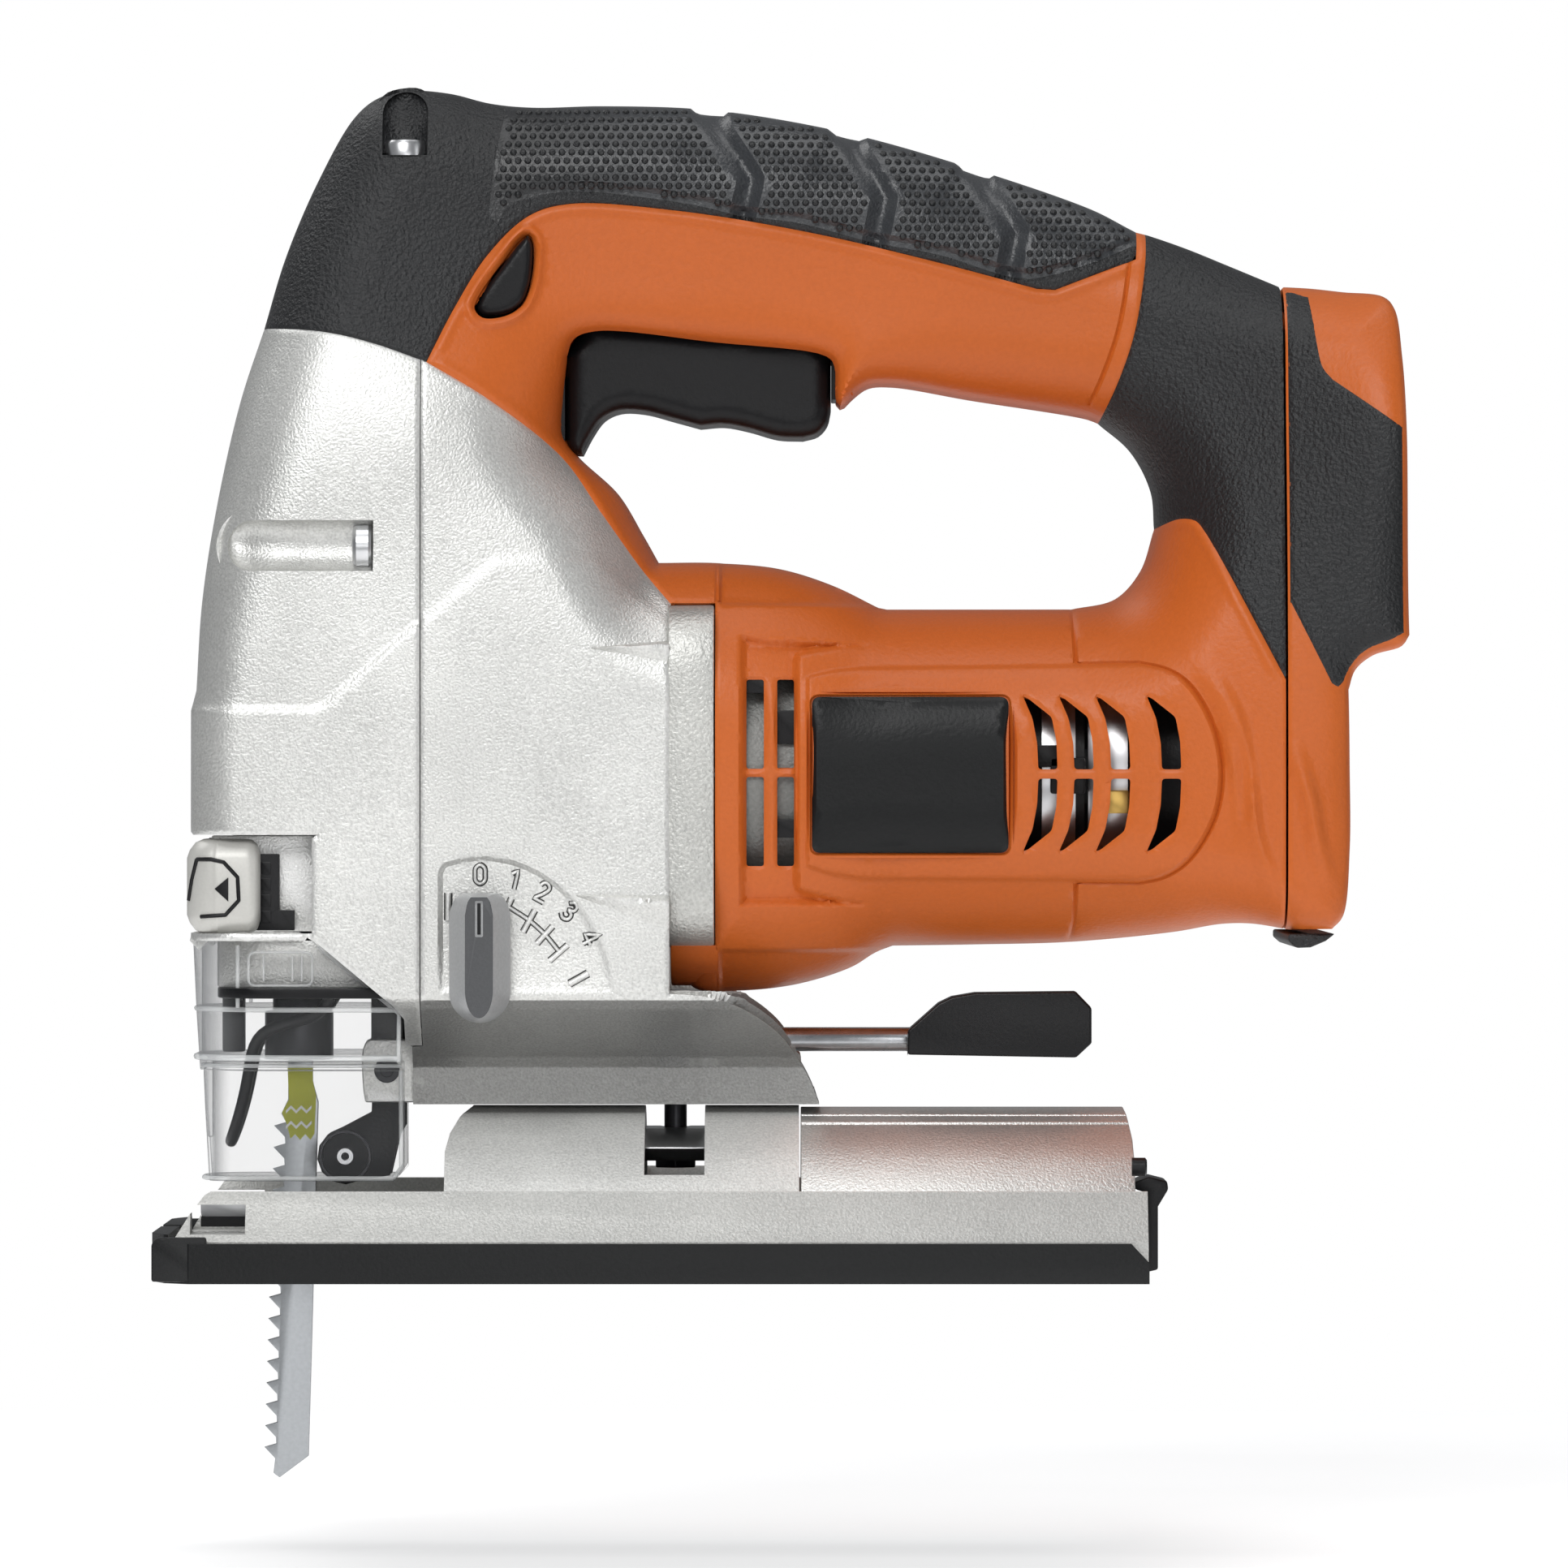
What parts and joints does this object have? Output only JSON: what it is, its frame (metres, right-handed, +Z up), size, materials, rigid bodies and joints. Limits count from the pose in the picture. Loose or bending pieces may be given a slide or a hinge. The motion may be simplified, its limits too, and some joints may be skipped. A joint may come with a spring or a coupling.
{
  "type": "cordless jigsaw",
  "caption": "Cordless top-handle jigsaw: two-part housing with rubber grips, cast gear case, crank-driven blade with roller, tilting shoe and rear battery mount.",
  "frame": {"origin": "middle of the sole's flat underside, on the shoe's tilt axis", "axes": "+Z up out of the sole, -X towards the cutting front, -Y the tool's left side"},
  "size_m": [0.2165, 0.083, 0.243],
  "materials": {
    "orange_plastic": "fine moulded texture",
    "black_rubber": "dotted grip texture",
    "black_plastic": "moulded",
    "silver_paint": "satin silver paint",
    "cast_alloy": "die cast",
    "steel": "ground",
    "pressed_steel": "plated",
    "brass": "sintered bush",
    "copper": "enamelled copper",
    "clear_plastic": "clear polycarbonate",
    "board_green": "coated board"
  },
  "bodies": {
    "tool_body": {"left_housing": "orange_plastic", "right_housing": "orange_plastic", "battery_mount": "orange_plastic", "left_grip": "black_rubber", "right_grip": "black_rubber", "left_rear_grip": "black_rubber", "right_rear_grip": "black_rubber", "left_mount_pad": "black_rubber", "right_mount_pad": "black_rubber", "rear_bumper": "black_rubber", "terminal_block": "black_plastic", "brush_holder": "black_plastic", "switch_body": "black_plastic", "left_label": "black_plastic", "right_label": "black_plastic", "nose_cover": "silver_paint", "gear_case": "cast_alloy", "motor_flange": "cast_alloy", "motor_can": "steel", "front_motor_bearing": "steel", "rear_motor_bearing": "steel", "front_crank_bearing": "steel", "rear_crank_bearing": "steel", "arm_pin": "steel", "lever_pin": "steel", "clamp_bolt": "steel", "finger_guard": "steel", "clamp_plate": "pressed_steel", "left_nose_screw": "pressed_steel", "right_nose_screw": "pressed_steel", "left_top_screw": "pressed_steel", "right_top_screw": "pressed_steel", "control_board": "board_green"},
    "drive_gear": {"drive_gear": "steel", "crank_shaft": "steel"},
    "armature": {"motor_shaft": "steel", "pinion": "steel", "cooling_fan": "black_plastic", "armature_core": "steel", "armature_winding": "copper", "commutator": "copper"},
    "guide_frame": {"guide_frame": "steel", "lower_bush": "brass", "upper_bush": "brass"},
    "plunger": {"plunger": "steel", "blade_clamp": "steel"},
    "blade": {"saw_blade": "steel"},
    "roller_arm": {"roller_arm": "black_plastic"},
    "roller": {"support_roller": "steel"},
    "selector": {"selector_knob": "black_plastic"},
    "blade_lever": {"blade_lever": "silver_paint"},
    "guard": {"clear_guard": "clear_plastic"},
    "trigger": {"trigger": "black_plastic"},
    "lock_button": {"lock_button": "black_plastic"},
    "shoe": {"shoe": "silver_paint", "dust_duct": "cast_alloy", "overshoe": "black_plastic", "overshoe_clip": "black_plastic"},
    "tilt_lever": {"tilt_lever": "pressed_steel", "lever_grip": "black_plastic"}
  },
  "joints": [
    {"name": "drive_gear_spin", "type": "hinge", "parent": "tool_body", "child": "drive_gear", "pos_m": [-0.0305, 0, 0.111], "axis": [1, 0, 0], "continuous": true},
    {"name": "armature_spin", "type": "hinge", "parent": "tool_body", "child": "armature", "pos_m": [0.03, 0, 0.087], "axis": [1, 0, 0], "continuous": true},
    {"name": "guide_swing", "type": "hinge", "parent": "tool_body", "child": "guide_frame", "pos_m": [-0.0629, 0, 0.1335], "axis": [0, 1, 0], "range_deg": [0, 1.15]},
    {"name": "plunger_stroke", "type": "slide", "parent": "guide_frame", "child": "plunger", "axis": [0, 0, 1], "range_m": [-0.0105, 0.0145]},
    {"name": "blade_release", "type": "slide", "parent": "plunger", "child": "blade", "axis": [0, 0, -1], "range_m": [0, 0.022]},
    {"name": "roller_arm_swing", "type": "hinge", "parent": "tool_body", "child": "roller_arm", "pos_m": [-0.0472, 0, 0.0358], "axis": [0, 1, 0], "range_deg": [0, 9]},
    {"name": "roller_spin", "type": "hinge", "parent": "roller_arm", "child": "roller", "pos_m": [-0.0546, 0, 0.0207], "axis": [0, 1, 0], "continuous": true},
    {"name": "selector_turn", "type": "hinge", "parent": "tool_body", "child": "selector", "pos_m": [-0.0304, -0.034, 0.0498], "axis": [0, 1, 0], "range_deg": [0, 64]},
    {"name": "blade_lever_open", "type": "hinge", "parent": "tool_body", "child": "blade_lever", "pos_m": [-0.0787, 0.021, 0.068], "axis": [0, 0, 1], "range_deg": [-60, 0], "stiffness_Nm_per_rad": 0.2, "springref_deg": 8.59},
    {"name": "guard_pull", "type": "slide", "parent": "tool_body", "child": "guard", "axis": [-1, 0, 0], "range_m": [0, 0.06]},
    {"name": "trigger_squeeze", "type": "slide", "parent": "tool_body", "child": "trigger", "axis": [0, 0, 1], "range_m": [0, 0.006], "stiffness_N_per_m": 1200, "springref_m": -0.002},
    {"name": "lock_press", "type": "slide", "parent": "tool_body", "child": "lock_button", "axis": [0, 1, 0], "range_m": [0, 0.004], "stiffness_N_per_m": 700, "springref_m": -0.001},
    {"name": "shoe_bevel", "type": "hinge", "parent": "tool_body", "child": "shoe", "pos_m": [0, 0, 0], "axis": [1, 0, 0], "range_deg": [-45, 45]},
    {"name": "tilt_lever_swing", "type": "hinge", "parent": "tool_body", "child": "tilt_lever", "pos_m": [0.003, 0, 0.041], "axis": [0, 0, 1], "range_deg": [0, 75]}
  ],
  "couplings": [
    {"joint": "armature_spin", "follows": "drive_gear_spin", "ratio": -3.8},
    {"joint": "roller_arm_swing", "follows": "guide_swing", "ratio": 7.8}
  ]
}
